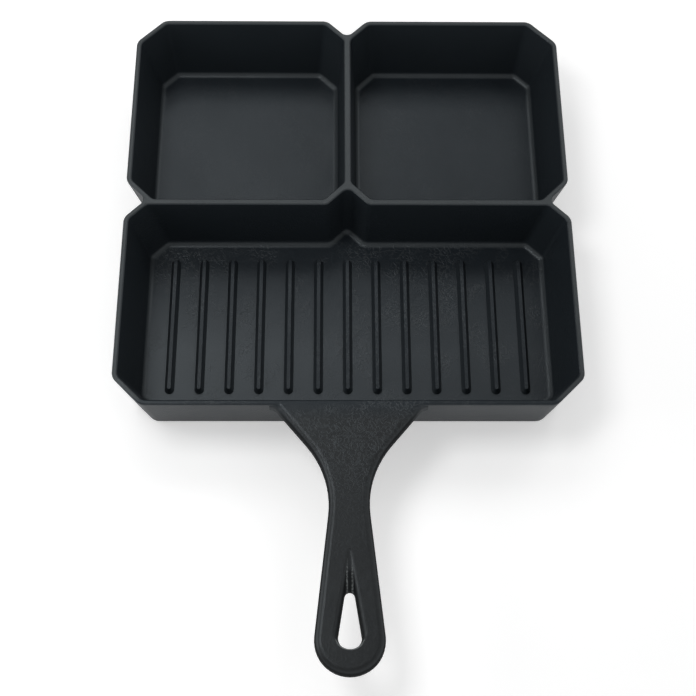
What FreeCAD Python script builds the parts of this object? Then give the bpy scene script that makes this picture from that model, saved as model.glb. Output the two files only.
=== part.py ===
import FreeCAD, Part
import math
import os

# A square frying pan with three wells, cast in one piece of iron with its handle.
# Millimetres. +Z is up and the underside lies on Z = 0. The origin is under the middle of
# the body, +Y points to the back, and the handle runs out along -Y from the front wall.

# Body, measured at the rim
body_width = 280.0
body_length = 280.0
body_height = 47.7
corner_leg = 17.8
notch_leg = 13.1
rim_thickness = 3.2
floor_thickness = 4.5
outer_draft = 10.0
inner_draft = 12.5
outer_corner_radius = 8.0
notch_radius = 5.0
bottom_radius = 4.0
rim_round = 1.0

# Dividers, measured at the rim
cross_divider_y = -1.85
cross_divider_thickness = 3.9
centre_divider_thickness = 4.3
divider_draft = 4.8
junction_leg = 13.0
junction_thickness = 4.0
junction_radius = 5.0
notch_behind_divider = 1.85
well_corner_radius = 5.0
floor_radius = 4.0
well_bevel = 0.7

# Ribs on the floor of the front well
rib_count = 13
rib_pitch = 18.45
rib_base_width = 6.0
rib_height = 4.0
rib_draft = 26.0
rib_front_gap = 8.5
rib_rear_gap = 8.5

# Handle, measured out from the rim at the front
handle_length = 156.3
handle_thickness = 8.5
handle_root_thickness = 10.0
handle_root_length = 52.0
handle_tip_radius = 19.6
handle_taper = 6.2
flare_half_width = 43.8
flare_angle = 39.3
flare_root_radius = 6.0
neck_radius = 58.0
handle_round = 4.0
handle_under_bevel = 1.8

# Hanging hole and the tapered hollow that leads into it, measured from the handle's tip
hole_from_tip = 20.8
hole_radius = 6.5
hole_length = 23.0
hole_small_radius = 2.9
hollow_from_tip = 22.9
hollow_radius = 9.6
hollow_length = 45.5
hollow_small_radius = 1.5
hollow_depth = 4.0
hollow_swell = 0.9
lip_width = 0.6
lip_depth = 0.25

# How far a cutting shape runs past the face that it cuts, and how near counts as level
overcut = 1.0
level = 0.01


def slope(draft):
    """Horizontal run for each millimetre of depth on a face with this draft in degrees."""
    return math.tan(math.radians(draft))


def side(direction, x, y, kind):
    """A straight side of an outline: the direction it faces, in degrees, and a point on it."""
    nx = math.cos(math.radians(direction))
    ny = math.sin(math.radians(direction))
    return {"nx": nx, "ny": ny, "reach": nx * x + ny * y, "kind": kind}


def mirrored(sides):
    """The same sides on the left of the pan, in the order that keeps the outline turning left."""
    return [dict(s, nx=-s["nx"]) for s in reversed(sides)]


def crossing(a, b, insets):
    """The corner where two neighbouring sides meet once each is moved in by its inset."""
    ra = a["reach"] - insets[a["kind"]]
    rb = b["reach"] - insets[b["kind"]]
    det = a["nx"] * b["ny"] - a["ny"] * b["nx"]
    return ((ra * b["ny"] - rb * a["ny"]) / det, (a["nx"] * rb - b["nx"] * ra) / det)


def corners(sides, insets, z):
    return [FreeCAD.Vector(*crossing(sides[i - 1], sides[i], insets), z)
            for i in range(len(sides))]


def turns_left(points, i):
    before = points[i] - points[i - 1]
    after = points[(i + 1) % len(points)] - points[i]
    return before.cross(after).z > 0


def closed_face(points):
    return Part.Face(Part.makePolygon(points + points[:1]))


def drafted_block(low, high, outward_radius, inward_radius):
    """A block with flat drafted sides between two like outlines, and its upright edges rounded."""
    faces = [closed_face(high), closed_face(low[::-1])]
    for i in range(len(low)):
        faces.append(closed_face([low[i - 1], low[i], high[i], high[i - 1]]))
    shell = Part.Shell(faces)
    shell.sewShape()
    block = Part.Solid(shell)
    for radius, left in ((outward_radius, True), (inward_radius, False)):
        feet = [low[i] for i in range(len(low)) if turns_left(low, i) == left]
        upright = [e for e in block.Edges if any(is_upright_from(e, foot) for foot in feet)]
        if upright:
            block = rounded(block, radius, upright)
    return block


def is_upright_from(edge, foot):
    ends = [v.Point for v in edge.Vertexes]
    rises = abs(ends[0].z - ends[-1].z) > level
    return rises and any(p.distanceToPoint(foot) < level for p in ends)


def level_edges(shape, z):
    """The edges of a shape that lie in the level plane at this height."""
    return [e for e in shape.Edges
            if abs(e.BoundBox.ZMin - z) < level and abs(e.BoundBox.ZMax - z) < level]


def edges_along(edges, shape):
    """Those of the edges whose middle lies on the surface of another shape."""
    def middle(edge):
        return Part.Vertex(edge.valueAt((edge.FirstParameter + edge.LastParameter) / 2))
    return [e for e in edges if shape.distToShape(middle(e))[0] < level]


def rounded(shape, radius, edges):
    return shape.makeFillet(radius, edges).Solids[0]


def bevelled(shape, width, edges):
    return shape.makeChamfer(width, edges).Solids[0]


half_width = body_width / 2
half_length = body_length / 2
rim_z = body_height
floor_z = floor_thickness
well_depth = rim_z - floor_z
notch_y = cross_divider_y + notch_behind_divider

# Outer sides of the body at the rim, from the front round the right to the back
front = side(-90, 0, -half_length, "wall")
front_corner = side(-45, half_width, corner_leg - half_length, "wall")
flank = side(0, half_width, 0, "wall")
notch_front = side(45, half_width - notch_leg, notch_y, "wall")
notch_rear = side(-45, half_width - notch_leg, notch_y, "wall")
rear_corner = side(45, half_width, half_length - corner_leg, "wall")
back = side(90, 0, half_length, "wall")
notch_back = side(135, 0, half_length - notch_leg, "wall")

# Faces of the dividers at the rim
cross_front_y = cross_divider_y - cross_divider_thickness / 2
cross_rear_y = cross_divider_y + cross_divider_thickness / 2
cross_front = side(90, 0, cross_front_y, "divider")
cross_rear = side(-90, 0, cross_rear_y, "divider")
centre_face = side(180, centre_divider_thickness / 2, 0, "divider")
junction_front = side(45, 0, cross_front_y + junction_leg, "divider")
junction_apex_y = cross_front_y + junction_leg + junction_thickness * math.sqrt(2)
junction_rear = side(-135, 0, junction_apex_y, "divider")

body_right = [front_corner, flank, notch_front, notch_rear, flank, rear_corner, back, notch_back]
body_sides = [front] + body_right + mirrored(body_right)
front_right = [front_corner, flank, notch_front, cross_front, junction_front]
front_well_sides = [front] + front_right + mirrored(front_right)
rear_well_sides = [cross_rear, notch_rear, flank, rear_corner, back, notch_back, centre_face,
                   junction_rear]


def make_body():
    """The outer form: drafted walls on a flat base, rounded at the foot and at the rim."""
    foot = corners(body_sides, {"wall": rim_z * slope(outer_draft)}, 0)
    rim = corners(body_sides, {"wall": 0.0}, rim_z)
    body = drafted_block(foot, rim, outer_corner_radius, notch_radius)
    body = rounded(body, bottom_radius, level_edges(body, 0))
    return rounded(body, rim_round, level_edges(body, rim_z))


def well_outline(sides, depth):
    insets = {"wall": rim_thickness + depth * slope(inner_draft),
              "divider": depth * slope(divider_draft)}
    return corners(sides, insets, rim_z - depth)


def make_well(sides):
    """The hollow of one well: drafted on every side, with a round where it meets its floor."""
    well = drafted_block(well_outline(sides, well_depth), well_outline(sides, -overcut),
                         well_corner_radius, junction_radius)
    return rounded(well, floor_radius, level_edges(well, floor_z))


def make_ribs():
    """Like ribs along the front well: drafted sides, a flat crest and round drafted ends."""
    wall_inset = rim_thickness + well_depth * slope(inner_draft)
    y_front = -half_length + wall_inset + floor_radius + rib_front_gap
    y_rear = cross_front_y - well_depth * slope(divider_draft) - floor_radius - rib_rear_gap
    y_first = y_front + rib_base_width / 2
    y_last = y_rear - rib_base_width / 2
    sink = floor_thickness / 4
    tall = rib_height + sink
    z = floor_z - sink
    foot = rib_base_width / 2 + sink * slope(rib_draft)
    crest = rib_base_width / 2 - rib_height * slope(rib_draft)
    section = [FreeCAD.Vector(-foot, y_first, z), FreeCAD.Vector(foot, y_first, z),
               FreeCAD.Vector(crest, y_first, z + tall), FreeCAD.Vector(-crest, y_first, z + tall)]
    rib = closed_face(section).extrude(FreeCAD.Vector(0, y_last - y_first, 0))
    ends = [Part.makeCone(foot, crest, tall, FreeCAD.Vector(0, y, z)) for y in (y_first, y_last)]
    rib = rib.fuse(ends).removeSplitter()
    ribs = []
    for i in range(rib_count):
        copy = rib.copy()
        copy.translate(FreeCAD.Vector((i - (rib_count - 1) / 2) * rib_pitch, 0, 0))
        ribs.append(copy)
    return ribs


def handle_point(x, out, z):
    return FreeCAD.Vector(x, -half_length - out, z)


def bend(before, corner, after, radius):
    """The arc that rounds one corner of a path, as its start, middle and end."""
    u = (corner - before).normalize()
    v = (after - corner).normalize()
    turn = u.getAngle(v)
    run = radius * math.tan(turn / 2)
    toward = (v - u).normalize()
    middle = corner + toward * (radius / math.cos(turn / 2) - radius)
    return corner - u * run, middle, corner + v * run


def handle_plan(z):
    """The handle's plan: a flare at the wall, a neck, then a taper out to the round tip."""
    tip_centre = handle_length - handle_tip_radius
    taper = math.radians(handle_taper)
    flare = math.radians(flare_angle)
    touch_out = tip_centre - handle_tip_radius * math.sin(taper)
    touch_half = handle_tip_radius * math.cos(taper)
    # The taper line carried back to the rim, and where the flare line meets it
    taper_half = touch_half - touch_out * math.tan(taper)
    neck_out = (flare_half_width - taper_half) / (math.tan(flare) + math.tan(taper))
    neck_half = taper_half + neck_out * math.tan(taper)
    root_half = flare_half_width + flare_root_radius * math.tan((math.pi / 2 - flare) / 2)
    inside = -2 * rim_thickness

    edges = []
    for s in (1, -1):
        inner = handle_point(s * root_half, inside, z)
        root = handle_point(s * root_half, 0, z)
        flare_corner = handle_point(s * flare_half_width, 0, z)
        neck = handle_point(s * neck_half, neck_out, z)
        touch = handle_point(s * touch_half, touch_out, z)
        root_arc = bend(root, flare_corner, neck, flare_root_radius)
        neck_arc = bend(flare_corner, neck, touch, neck_radius)
        edges += [Part.makeLine(inner, root_arc[0]), Part.Arc(*root_arc).toShape(),
                  Part.makeLine(root_arc[2], neck_arc[0]), Part.Arc(*neck_arc).toShape(),
                  Part.makeLine(neck_arc[2], touch)]
    edges.append(Part.Arc(handle_point(touch_half, touch_out, z),
                          handle_point(0, handle_length, z),
                          handle_point(-touch_half, touch_out, z)).toShape())
    edges.append(Part.makeLine(handle_point(-root_half, inside, z),
                               handle_point(root_half, inside, z)))
    return Part.Face(Part.Wire(Part.__sortEdges__(edges)))


def outline_edges(handle, z_low, z_high):
    """The edges between two heights that follow the plan outside the wall."""
    return [e for e in handle.Edges
            if z_low - level < e.BoundBox.ZMin and e.BoundBox.ZMax < z_high + level
            and e.BoundBox.YMin < -half_length - level and e.BoundBox.YLength > level]


def make_handle():
    """The handle's plan carried down to a side profile deepest at the wall, and eased."""
    plan = handle_plan(rim_z).extrude(FreeCAD.Vector(0, 0, -handle_root_thickness))
    reach = handle_length + overcut
    x = -flare_half_width - flare_root_radius - overcut
    root_z = rim_z - handle_root_thickness
    under_z = rim_z - handle_thickness
    inside = -2 * rim_thickness - overcut
    profile = [handle_point(x, inside, rim_z), handle_point(x, inside, root_z),
               handle_point(x, 0, root_z), handle_point(x, handle_root_length, under_z),
               handle_point(x, reach, under_z), handle_point(x, reach, rim_z)]
    sweep = closed_face(profile).extrude(FreeCAD.Vector(-2 * x, 0, 0))
    handle = plan.common(sweep).Solids[0]
    handle = rounded(handle, handle_round, outline_edges(handle, rim_z, rim_z))
    return bevelled(handle, handle_under_bevel, outline_edges(handle, root_z, under_z))


def teardrop(centre_y, radius, length, small_radius, z):
    """A teardrop: a large round towards the tip, a small one towards the pan, and tangents."""
    lean = math.asin((radius - small_radius) / length)
    c, s = math.cos(lean), math.sin(lean)
    far_y = centre_y + length
    right = FreeCAD.Vector(radius * c, centre_y + radius * s, z)
    left = FreeCAD.Vector(-radius * c, centre_y + radius * s, z)
    small_right = FreeCAD.Vector(small_radius * c, far_y + small_radius * s, z)
    small_left = FreeCAD.Vector(-small_radius * c, far_y + small_radius * s, z)
    return Part.Wire([
        Part.Arc(left, FreeCAD.Vector(0, centre_y - radius, z), right).toShape(),
        Part.makeLine(right, small_right),
        Part.Arc(small_right, FreeCAD.Vector(0, far_y + small_radius, z), small_left).toShape(),
        Part.makeLine(small_left, left)])


def make_hole():
    """The hanging hole and the hollow above it, steeper towards the hole and eased at the lip."""
    y_tip = -half_length - handle_length
    y_wide = y_tip + hollow_from_tip
    y_hole = y_tip + hole_from_tip
    inner_radius = hollow_radius - lip_width
    inner_small = hollow_small_radius - lip_width
    foot_z = rim_z - hollow_depth
    waist_z = (rim_z + foot_z) / 2 + hollow_swell
    top = teardrop(y_wide, hollow_radius, hollow_length, hollow_small_radius, rim_z)
    lip = teardrop(y_wide, inner_radius, hollow_length, inner_small, rim_z - lip_depth)
    waist = teardrop((y_wide + y_hole) / 2, (inner_radius + hole_radius) / 2,
                     (hollow_length + hole_length) / 2, (inner_small + hole_small_radius) / 2,
                     waist_z)
    foot = teardrop(y_hole, hole_radius, hole_length, hole_small_radius, foot_z)
    rings = [foot, waist, lip, top]
    bands = [Part.makeLoft(rings[i:i + 2], True, True) for i in range(len(rings) - 1)]
    through = Part.Face(foot).extrude(FreeCAD.Vector(0, 0, -handle_root_thickness))
    above = Part.Face(top).extrude(FreeCAD.Vector(0, 0, overcut))
    return through.fuse(bands + [above])


def make_pan():
    """Body and handle joined, wells cut and eased at the rim, ribs added, hole cut."""
    wells = [make_well(front_well_sides), make_well(rear_well_sides),
             make_well(mirrored(rear_well_sides))]
    pan = make_body().fuse(make_handle()).cut(wells).removeSplitter()
    pan = bevelled(pan, well_bevel, edges_along(level_edges(pan, rim_z), Part.makeCompound(wells)))
    pan = pan.fuse(make_ribs()).cut(make_hole()).removeSplitter()
    return pan.Solids[0]


os.makedirs("parts", exist_ok=True)
pan = make_pan()
print("solids", len(pan.Solids), "valid", pan.isValid(), "volume cm3", round(pan.Volume / 1000, 1))
pan.exportStep("parts/pan.step")
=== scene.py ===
import math

import bpy
from mathutils import Matrix, Vector


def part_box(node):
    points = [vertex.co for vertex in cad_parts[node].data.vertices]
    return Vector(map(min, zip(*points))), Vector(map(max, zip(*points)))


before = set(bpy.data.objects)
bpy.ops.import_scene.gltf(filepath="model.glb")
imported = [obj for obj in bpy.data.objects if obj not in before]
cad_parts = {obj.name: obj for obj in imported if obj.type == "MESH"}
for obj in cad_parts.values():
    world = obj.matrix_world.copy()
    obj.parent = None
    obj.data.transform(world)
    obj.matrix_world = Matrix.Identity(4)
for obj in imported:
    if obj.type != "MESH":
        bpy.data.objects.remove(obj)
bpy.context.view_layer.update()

# The pan: body, three wells, ribs and handle poured as one iron casting.
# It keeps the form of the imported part, so this section only gives it its surface: cast in sand,
# which leaves a fine pebbled skin, then oiled and baked to a thin satin black.
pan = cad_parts["pan"]
RIM_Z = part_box("pan")[1].z
GRAIN_SIZE = 0.0012
GRAIN_HEIGHT = 0.00005
CURL_SIZE = 0.0028
CURL_HEIGHT = 0.00009
SWELL_SIZE = 0.018
SWELL_HEIGHT = 0.00035
PATCHES_PER_METRE = 42.0
DRIFTS_PER_METRE = 11.0
DRIFT_SPAN = (0.3, 0.7)
STREAK_OFFSET = 0.0015
HANDLE_CURLS = 0.55
ROUGHNESS_SPAN = (0.42, 0.36)
UPRIGHT_ROUGHER = 0.15
# Extra roughness where shade is painted.
SHADE_ZONE_ROUGHER = 0.45
REFRACTION = 1.42
SHEEN_TINT = (0.86, 0.95, 1.0, 1.0)
IRON_DARK = (0.0062, 0.0090, 0.0124, 1.0)
IRON_LIGHT = (0.0102, 0.0135, 0.0174, 1.0)
# The front floor's painted sheen: a lighter tone where the overhead light reflects.
FRONT_FLOOR_SHEEN = (0.0420, 0.0485, 0.0540, 1.0)
HANDLE_IRON = (0.0112, 0.0114, 0.0118, 1.0)
CURL_IRON = (0.0275, 0.0312, 0.0342, 1.0)
# Painted shade: the upright faces a little darker and bluer.
UPRIGHT_SHADE_IRON = (0.0070, 0.0100, 0.0130, 1.0)
# Painted highlight on the fillets round the floors.
FILLET_HIGHLIGHT_IRON = (0.0250, 0.0290, 0.0320, 1.0)
# Painted shade: the dark line at the foot, the handle's outer edge and the hollow round the hole.
PAINTED_SHADE_BLACK = (0.0020, 0.0020, 0.0022, 1.0)
GROUND_IRON = (0.13, 0.14, 0.14, 1.0)
# The rim top: rubbed, and lightened further as painted highlight.
RUBBED_RIM_HIGHLIGHT = (0.034, 0.038, 0.040, 1.0)

# The zones of the surface, as the limits that are multiplied. A limit is a measure, its value
# where the zone is absent and its value where the zone is full, and then, unless they are 0
# and 1, the share left where it is absent and the share reached where it is full.
HANDLE_ROOT = ("Y", -0.139, -0.150)
ZONES = {
    "handle": (HANDLE_ROOT,),
    "curls": (("curl", 0.43, 0.49), ("curl", 0.57, 0.51)),
    "flare": (("Y", -0.215, -0.165, 0.25),),
    "patches": (("patch", 0.46, 0.60, 0.05, 0.8), ("Y", 0.005, -0.005, 0.25)),
    # Upright faces: a slightly darker tone that is painted shade, and more roughness.
    "upright": (("facing Z", 0.80, 0.35),),
    # The foot, the handle's outer edge and the hollow take painted shade.
    "foot": (("Z", 0.0036, 0.0018),),
    "outer edge": (HANDLE_ROOT, ("Z", RIM_Z - 0.0009, RIM_Z - 0.0019)),
    "hollow": (("Z", RIM_Z - 0.0005, RIM_Z - 0.0014),
               ("X", -0.0125, -0.0115), ("X", 0.0125, 0.0115),
               ("Y", -0.2860, -0.2840), ("Y", -0.222, -0.228)),
    # Painted sheen on the front floor, lighter towards the left.
    "front floor sheen": (("Z", 0.0075, 0.0055), ("Y", -0.045, -0.085), ("X", 0.11, -0.08, 0.40)),
    # A painted highlight on the fillets round the floors.
    "fillet highlight": (("Z", 0.0100, 0.0080), ("facing Z", 0.995, 0.95),
                   ("facing Z", 0.40, 0.65), ("Z", 0.0040, 0.0044)),
    "streaks": (("folded X", STREAK_OFFSET * 0.55, STREAK_OFFSET * 0.85),
                ("X", -0.0040, -0.0026), ("X", 0.0040, 0.0026),
                ("Y", -0.226, -0.234), ("Y", -0.2535, -0.2515),
                ("Z", RIM_Z - 0.0004, RIM_Z - 0.0012), ("grain", 0.42, 0.58, 0.25)),
    "near lip": (("facing Y", 0.22, 0.34), ("Y", -0.262, -0.268),
                 ("Z", RIM_Z - 0.0012, RIM_Z - 0.0006)),
    # The rim top lighter: rubbing and painted highlight.
    "rim": (("Z", RIM_Z - 0.0006, RIM_Z - 0.0001), ("Y", -0.1376, -0.1356)),
}
# The tones, in the order in which they are laid over one another.
TONES = (("front floor sheen", FRONT_FLOOR_SHEEN), ("handle", HANDLE_IRON), ("curls", CURL_IRON),
         ("upright", UPRIGHT_SHADE_IRON), ("fillet highlight", FILLET_HIGHLIGHT_IRON), ("painted shade zones", PAINTED_SHADE_BLACK),
         ("streaks", GROUND_IRON), ("near lip", GROUND_IRON), ("rim", RUBBED_RIM_HIGHLIGHT))
# The sockets of a mix node that mixes colours.
MIX_SHARE, MIX_UNDER, MIX_OVER, MIX_RESULT = 0, 6, 7, 2


def seasoned_iron(name):
    """Satin black over cast iron.
    Colour = a slow drift between two blacks, with the tone of each zone laid over it by the
    zone's share: a painted sheen lightening the front floor, painted shade darkening the upright
    faces a little, painted shade on the foot, along the handle's outer edge and in the hollow
    round the hole, a painted highlight on the fillets round the floors, two ground streaks above
    the hole, a light near lip of the hole, and a rim top lightened by rubbing and by painted
    highlight.
    Roughness = the drift's share, more on upright faces and most where shade is painted.
    Height = swell x SWELL_HEIGHT + grain x GRAIN_HEIGHT + curls x CURL_HEIGHT, where a curl is
    the line on which a noise passes its middle value. Bump nodes turn the heights to slopes."""
    mat = bpy.data.materials.new(name)
    mat.use_nodes = True
    nodes, links = mat.node_tree.nodes, mat.node_tree.links
    nodes.clear()
    out = nodes.new("ShaderNodeOutputMaterial")
    shader = nodes.new("ShaderNodeBsdfPrincipled")
    links.new(shader.outputs["BSDF"], out.inputs["Surface"])
    shader.inputs["Metallic"].default_value = 0.0
    shader.inputs["IOR"].default_value = REFRACTION
    shader.inputs["Specular IOR Level"].default_value = 0.5
    shader.inputs["Specular Tint"].default_value = SHEEN_TINT

    place = nodes.new("ShaderNodeTexCoord")
    spot = nodes.new("ShaderNodeSeparateXYZ")
    links.new(place.outputs["Object"], spot.inputs["Vector"])
    facing = nodes.new("ShaderNodeSeparateXYZ")
    links.new(place.outputs["Normal"], facing.inputs["Vector"])

    def noise(scale, detail, roughness, distortion):
        """Noise over the pan's own coordinates, with scale cells to a metre."""
        n = nodes.new("ShaderNodeTexNoise")
        n.inputs["Scale"].default_value = scale
        n.inputs["Detail"].default_value = detail
        n.inputs["Roughness"].default_value = roughness
        n.inputs["Distortion"].default_value = distortion
        links.new(place.outputs["Object"], n.inputs["Vector"])
        return n.outputs["Fac"]

    def fade(source, absent, full, least=0.0, most=1.0):
        """Least where source is at absent, most where it is at full, and even in between."""
        m = nodes.new("ShaderNodeMapRange")
        m.inputs["From Min"].default_value = absent
        m.inputs["From Max"].default_value = full
        m.inputs["To Min"].default_value = least
        m.inputs["To Max"].default_value = most
        links.new(source, m.inputs["Value"])
        return m.outputs["Result"]

    def combine(operation, first, second):
        """First and second joined by one operation of arithmetic."""
        m = nodes.new("ShaderNodeMath")
        m.operation = operation
        links.new(first, m.inputs[0])
        links.new(second, m.inputs[1])
        return m.outputs["Value"]

    def within(limits):
        """The share of a zone: all its limits multiplied."""
        share = None
        for measure, *span in limits:
            part = fade(measures[measure], *span)
            share = part if share is None else combine("MULTIPLY", share, part)
        return share

    def toned(under, tone, share):
        """Under x (1 - share) + tone x share."""
        m = nodes.new("ShaderNodeMix")
        m.data_type = "RGBA"
        links.new(share, m.inputs[MIX_SHARE])
        links.new(under, m.inputs[MIX_UNDER])
        m.inputs[MIX_OVER].default_value = tone
        return m.outputs[MIX_RESULT]

    grain = noise(scale=1 / GRAIN_SIZE, detail=1.0, roughness=0.5, distortion=0.0)
    curl = noise(scale=1 / CURL_SIZE, detail=1.0, roughness=0.5, distortion=0.4)
    swell = noise(scale=1 / SWELL_SIZE, detail=3.0, roughness=0.5, distortion=0.2)
    drift = noise(scale=DRIFTS_PER_METRE, detail=4.0, roughness=0.6, distortion=0.3)
    patch = noise(scale=PATCHES_PER_METRE, detail=2.0, roughness=0.5, distortion=0.3)
    # Folded X is 0 on the middle line and largest on the two streaks beside it.
    folded = nodes.new("ShaderNodeMath")
    folded.operation = "PINGPONG"
    folded.inputs[1].default_value = STREAK_OFFSET
    links.new(spot.outputs["X"], folded.inputs[0])
    measures = {"X": spot.outputs["X"], "Y": spot.outputs["Y"], "Z": spot.outputs["Z"],
                "facing Y": facing.outputs["Y"], "facing Z": facing.outputs["Z"],
                "folded X": folded.outputs["Value"],
                "grain": grain, "curl": curl, "patch": patch}

    shares = {zone: within(limits) for zone, limits in ZONES.items()}
    curled = combine("MAXIMUM", fade(shares["handle"], 0.0, 1.0, most=HANDLE_CURLS),
                     shares["patches"])
    shares["curls"] = combine("MULTIPLY", shares["curls"],
                              combine("MULTIPLY", shares["flare"], curled))
    # Painted shade on the foot, along the handle's outer edge and in the hollow.
    shares["painted shade zones"] = combine("MAXIMUM", shares["foot"],
                                   combine("MAXIMUM", shares["outer edge"], shares["hollow"]))

    blacks = nodes.new("ShaderNodeMix")
    blacks.data_type = "RGBA"
    blacks.inputs[MIX_UNDER].default_value = IRON_DARK
    blacks.inputs[MIX_OVER].default_value = IRON_LIGHT
    links.new(fade(drift, *DRIFT_SPAN), blacks.inputs[MIX_SHARE])
    skin = blacks.outputs[MIX_RESULT]
    for zone, tone in TONES:
        skin = toned(skin, tone, shares[zone])
    links.new(skin, shader.inputs["Base Color"])

    polish = fade(drift, *DRIFT_SPAN, *ROUGHNESS_SPAN)
    matt = combine("ADD", fade(shares["upright"], 0.0, 1.0, most=UPRIGHT_ROUGHER),
                   fade(shares["painted shade zones"], 0.0, 1.0, most=SHADE_ZONE_ROUGHER))
    links.new(combine("ADD", polish, matt), shader.inputs["Roughness"])

    normal = None
    for height, depth in ((swell, SWELL_HEIGHT), (grain, GRAIN_HEIGHT),
                          (shares["curls"], CURL_HEIGHT)):
        bump = nodes.new("ShaderNodeBump")
        bump.inputs["Distance"].default_value = depth
        bump.inputs["Strength"].default_value = 1.0
        links.new(height, bump.inputs["Height"])
        if normal is not None:
            links.new(normal, bump.inputs["Normal"])
        normal = bump.outputs["Normal"]
    links.new(normal, shader.inputs["Normal"])
    return mat


iron = seasoned_iron("seasoned_iron_skin")
pan.data.materials.clear()
pan.data.materials.append(iron)

# The floor: one wide sheet of white paper under the pan. The camera sees it as plain white
# away from the pan, and it still takes the pan's soft shadow.
FLOOR_HALF = 40.0
PAPER_WHITE = (0.85, 0.85, 0.85, 1.0)
PAPER_GLOW = (1.0, 1.0, 1.0, 1.0)
PAPER_ROUGHNESS = 0.9
PAPER_LIFT = 0.37


def flat_sheet(name, half):
    """A square of side 2 x half on Z = 0, centred under the pan."""
    mesh = bpy.data.meshes.new(name)
    mesh.from_pydata([(-half, -half, 0), (half, -half, 0), (half, half, 0), (-half, half, 0)],
                     [], [(0, 1, 2, 3)])
    sheet = bpy.data.objects.new(name, mesh)
    bpy.context.scene.collection.objects.link(sheet)
    return sheet


floor = flat_sheet("floor", FLOOR_HALF)


def seen_directly(nodes, links):
    """1 on camera, glossy and transmission rays and 0 on all others: the largest of the three."""
    path = nodes.new("ShaderNodeLightPath")
    seen = path.outputs["Is Camera Ray"]
    for ray in ("Is Glossy Ray", "Is Transmission Ray"):
        larger = nodes.new("ShaderNodeMath")
        larger.operation = "MAXIMUM"
        links.new(seen, larger.inputs[0])
        links.new(path.outputs[ray], larger.inputs[1])
        seen = larger.outputs["Value"]
    return seen


paper = bpy.data.materials.new("floor_paper")
paper.use_nodes = True
paper_nodes, paper_links = paper.node_tree.nodes, paper.node_tree.links
paper_shader = paper_nodes["Principled BSDF"]
paper_shader.inputs["Base Color"].default_value = PAPER_WHITE
paper_shader.inputs["Roughness"].default_value = PAPER_ROUGHNESS
paper_shader.inputs["Emission Color"].default_value = PAPER_GLOW
lift = paper_nodes.new("ShaderNodeMath")
lift.operation = "MULTIPLY"
lift.inputs[1].default_value = PAPER_LIFT
paper_links.new(seen_directly(paper_nodes, paper_links), lift.inputs[0])
paper_links.new(lift.outputs["Value"], paper_shader.inputs["Emission Strength"])
floor.data.materials.append(paper)

# The studio: a white room that is brighter in front of the pan and to its right, with four
# soft boxes around and above it. They light the handle, the ribs and the rims from the left
# and from behind.
ROOM_WHITE = (1.0, 1.0, 1.0, 1.0)
ROOM_LEVEL = 0.20
ROOM_LOBES = (((0.0, -1.0, 0.0), 0.80), ((1.0, 0.0, 0.0), 0.70))
SOFT_BOX_AIM = (0.0, -0.05, 0.0)
SOFT_BOX_HEIGHT = 0.4
# Each soft box: its name, its place, its width and its power.
SOFT_BOXES = (("soft_box_left", (-0.9, -0.1, 0.35), 0.6, 2.4),
              ("soft_box_over_left", (-0.45, 0.0, 1.1), 0.4, 3.6),
              ("soft_box_back", (-0.2, 0.7, 1.0), 0.8, 2.4),
              ("soft_box_back_right", (0.6, 0.6, 0.9), 0.4, 1.5))
world = bpy.data.worlds.new("studio")
bpy.context.scene.world = world
world.use_nodes = True
world_nodes, world_links = world.node_tree.nodes, world.node_tree.links
world_nodes.clear()
world_out = world_nodes.new("ShaderNodeOutputWorld")
room = world_nodes.new("ShaderNodeBackground")
room.inputs["Color"].default_value = ROOM_WHITE
world_links.new(room.outputs["Background"], world_out.inputs["Surface"])


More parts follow.
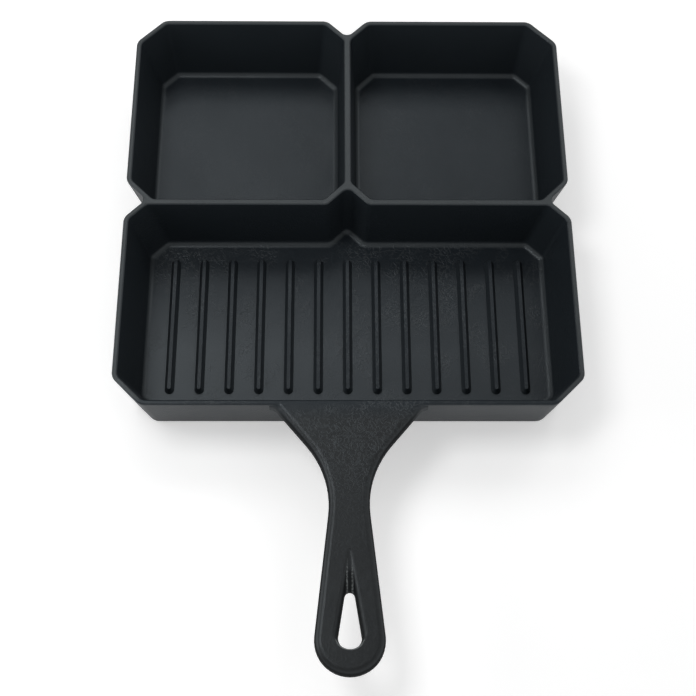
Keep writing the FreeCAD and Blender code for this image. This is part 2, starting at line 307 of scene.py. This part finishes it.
def room_brightness():
    """Level plus, for each lobe, its strength x the square of the cosine to its direction."""
    direction = world_nodes.new("ShaderNodeTexCoord").outputs["Generated"]
    total = None
    for towards, strength in ROOM_LOBES:
        along = world_nodes.new("ShaderNodeVectorMath")
        along.operation = "DOT_PRODUCT"
        along.inputs[1].default_value = towards
        world_links.new(direction, along.inputs[0])
        facing_only = world_nodes.new("ShaderNodeMath")
        facing_only.operation = "MAXIMUM"
        facing_only.inputs[1].default_value = 0.0
        world_links.new(along.outputs["Value"], facing_only.inputs[0])
        squared = world_nodes.new("ShaderNodeMath")
        squared.operation = "MULTIPLY"
        world_links.new(facing_only.outputs["Value"], squared.inputs[0])
        world_links.new(facing_only.outputs["Value"], squared.inputs[1])
        lobe = world_nodes.new("ShaderNodeMath")
        lobe.operation = "MULTIPLY_ADD"
        lobe.inputs[1].default_value = strength
        lobe.inputs[2].default_value = ROOM_LEVEL
        world_links.new(squared.outputs["Value"], lobe.inputs[0])
        if total is not None:
            world_links.new(total, lobe.inputs[2])
        total = lobe.outputs["Value"]
    return total


world_links.new(room_brightness(), room.inputs["Strength"])


def soft_box(name, place, width, power):
    """A rectangular lamp at place, turned to SOFT_BOX_AIM and not seen by the camera itself."""
    lamp = bpy.data.lights.new(name, "AREA")
    lamp.shape = "RECTANGLE"
    lamp.size = width
    lamp.size_y = SOFT_BOX_HEIGHT
    lamp.energy = power
    holder = bpy.data.objects.new(name, lamp)
    holder.visible_camera = False
    bpy.context.scene.collection.objects.link(holder)
    direction = Vector(SOFT_BOX_AIM) - Vector(place)
    holder.matrix_world = (Matrix.Translation(place)
                           @ direction.to_track_quat("-Z", "Y").to_matrix().to_4x4())


for box in SOFT_BOXES:
    soft_box(*box)

# The camera: where the photograph was taken from, fitted to the rim, the floors and the ribs.
# It looks down over the handle, with a small turn and roll, all three angles in radians.
CAMERA_PLACE = Vector((-0.0104, -0.443468, 0.77095))
LOOK_DOWN = math.radians(64.8)
TURN = 0.0295
ROLL = 0.0277
FOCAL_PIXELS = 1342.706
PHOTO_PIXELS = 696
SENSOR = 36.0
right = Vector((math.cos(TURN), -math.sin(TURN), 0.0))
ahead = Vector((math.sin(TURN), math.cos(TURN), 0.0))
up = ahead * math.sin(LOOK_DOWN) + Vector((0.0, 0.0, math.cos(LOOK_DOWN)))
forward = ahead * math.cos(LOOK_DOWN) - Vector((0.0, 0.0, math.sin(LOOK_DOWN)))
rolled_right = right * math.cos(ROLL) + up * math.sin(ROLL)
rolled_up = up * math.cos(ROLL) - right * math.sin(ROLL)
lens = bpy.data.cameras.new("photo_camera")
lens.sensor_width = SENSOR
lens.lens = FOCAL_PIXELS / PHOTO_PIXELS * SENSOR
camera = bpy.data.objects.new("photo_camera", lens)
bpy.context.scene.collection.objects.link(camera)
axes = Matrix((rolled_right, rolled_up, -forward)).transposed()
camera.matrix_world = Matrix.Translation(CAMERA_PLACE) @ axes.to_4x4()
bpy.context.scene.camera = camera
bpy.context.scene.view_settings.view_transform = "Standard"
